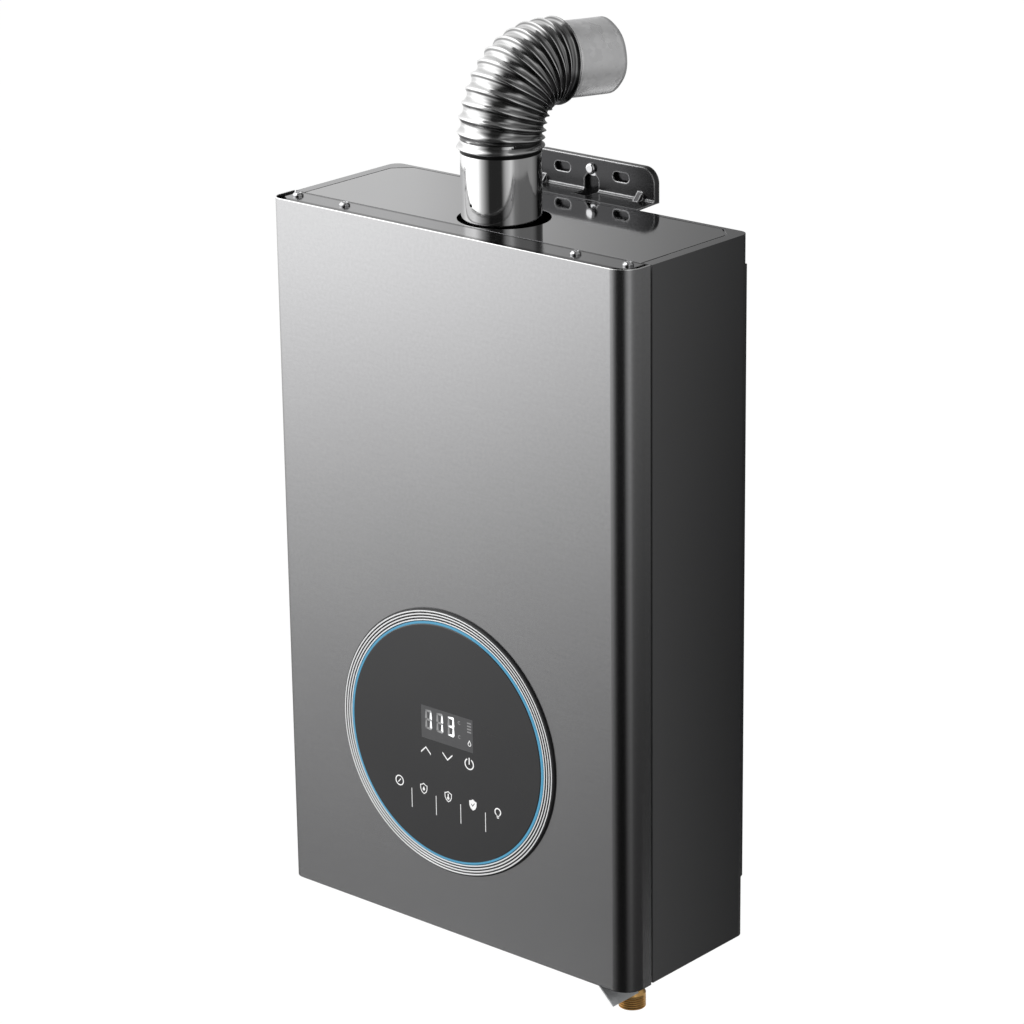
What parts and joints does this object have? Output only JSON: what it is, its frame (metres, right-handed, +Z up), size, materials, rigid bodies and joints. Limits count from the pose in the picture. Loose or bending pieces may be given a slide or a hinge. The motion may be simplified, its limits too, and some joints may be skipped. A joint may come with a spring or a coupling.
{
  "type": "tankless water heater",
  "caption": "Wall-hung gas water heater: slim box with a brushed front, round touch panel, corrugated flue elbow, hanging bracket and threaded fittings below.",
  "frame": {"origin": "middle of the two wall slots, on the wall plane", "axes": "+X to the right as seen from the front, +Y into the wall, +Z up"},
  "size_m": [0.346, 0.1744, 0.7366],
  "materials": {
    "brushed_front": "brushed gunmetal steel, satin",
    "case_paint": "charcoal paint, satin",
    "top_sheet": "grey coated sheet, semi-gloss",
    "galvanised": "zinc-coated sheet, dull",
    "bracket_steel": "dark zinc-coated sheet, semi-gloss",
    "bright_screw": "bright plated steel",
    "bezel_silver": "ridged bright silver",
    "ring_blue": "translucent blue, lit",
    "panel_glass": "dark backed glass, gloss",
    "board": "green circuit board",
    "black_plastic": "black moulded plastic",
    "white_plastic": "off-white moulded plastic",
    "stainless": "polished stainless sheet",
    "tail_zinc": "zinc-coated sheet, matt",
    "soft_seal": "black rubber",
    "aluminium": "die-cast, satin",
    "burner_steel": "bare stainless steel",
    "copper": "bare copper",
    "brass": "machined brass",
    "ceramic": "glazed ceramic with a steel rod"
  },
  "bodies": {
    "heater": {"rear_case": "case_paint", "top_plate": "top_sheet", "bottom_plate": "galvanised", "front_cover": "brushed_front", "cover_screws": "bright_screw", "hanging_bracket": "bracket_steel", "wall_plate": "bracket_steel", "hanger_stud": "bright_screw", "lower_bracket": "bracket_steel", "bracket_rivets": "bright_screw", "control_bezel": "bezel_silver", "light_ring": "ring_blue", "control_glass": "panel_glass", "display_board": "board", "panel_retainer": "black_plastic", "flue_collar": "stainless", "collar_gasket": "soft_seal", "fan_housing": "galvanised", "fan_motor": "black_plastic", "smoke_hood": "galvanised", "inner_screws": "bright_screw", "burner_tray": "galvanised", "burner_bars": "burner_steel", "gas_manifold": "aluminium", "gas_jets": "brass", "combustion_chamber": "copper", "flame_probes": "ceramic", "chamber_brackets": "galvanised", "thermal_cutout": "black_plastic", "exchanger_shell": "copper", "exchanger_fins": "copper", "exchanger_tube": "copper", "pipe_couplings": "brass", "inlet_fitting": "brass", "outlet_fitting": "brass", "gas_fitting": "brass", "inlet_filter": "white_plastic", "flow_sensor_body": "black_plastic", "rotor_supports": "white_plastic", "inlet_pipe": "copper", "outlet_pipe": "copper", "zinc_tongue": "galvanised", "gas_valve_body": "aluminium", "valve_coils": "black_plastic", "gas_pipe": "aluminium", "control_box": "white_plastic", "control_lid": "white_plastic", "main_board": "board", "igniter_module": "black_plastic", "pressure_switch": "white_plastic", "cable_gland": "soft_seal"},
    "flue_head": {"flue_elbow": "stainless", "flue_tail": "tail_zinc"},
    "fan_rotor": {"fan_impeller": "aluminium", "fan_shaft": "bright_screw"},
    "flow_rotor": {"turbine_rotor": "white_plastic"},
    "shutoff": {"shutoff_plunger": "burner_steel"},
    "regulator": {"regulator_plunger": "burner_steel"}
  },
  "joints": [
    {"name": "flue_swivel", "type": "hinge", "parent": "heater", "child": "flue_head", "pos_m": [-0.001, -0.108, 0.0395], "axis": [0, 0, 1], "continuous": true},
    {"name": "fan_spin", "type": "hinge", "parent": "heater", "child": "fan_rotor", "pos_m": [-0.024, -0.108, -0.0895], "axis": [0, 1, 0], "continuous": true},
    {"name": "turbine_spin", "type": "hinge", "parent": "heater", "child": "flow_rotor", "pos_m": [0.131, -0.121, -0.507], "axis": [0, 0, 1], "continuous": true},
    {"name": "shutoff_travel", "type": "slide", "parent": "heater", "child": "shutoff", "axis": [1, 0, 0], "range_m": [0, 0.003], "stiffness_N_per_m": 400, "springref_m": -0.004},
    {"name": "regulator_travel", "type": "slide", "parent": "heater", "child": "regulator", "axis": [-1, 0, 0], "range_m": [0, 0.004], "stiffness_N_per_m": 300, "springref_m": -0.004}
  ]
}
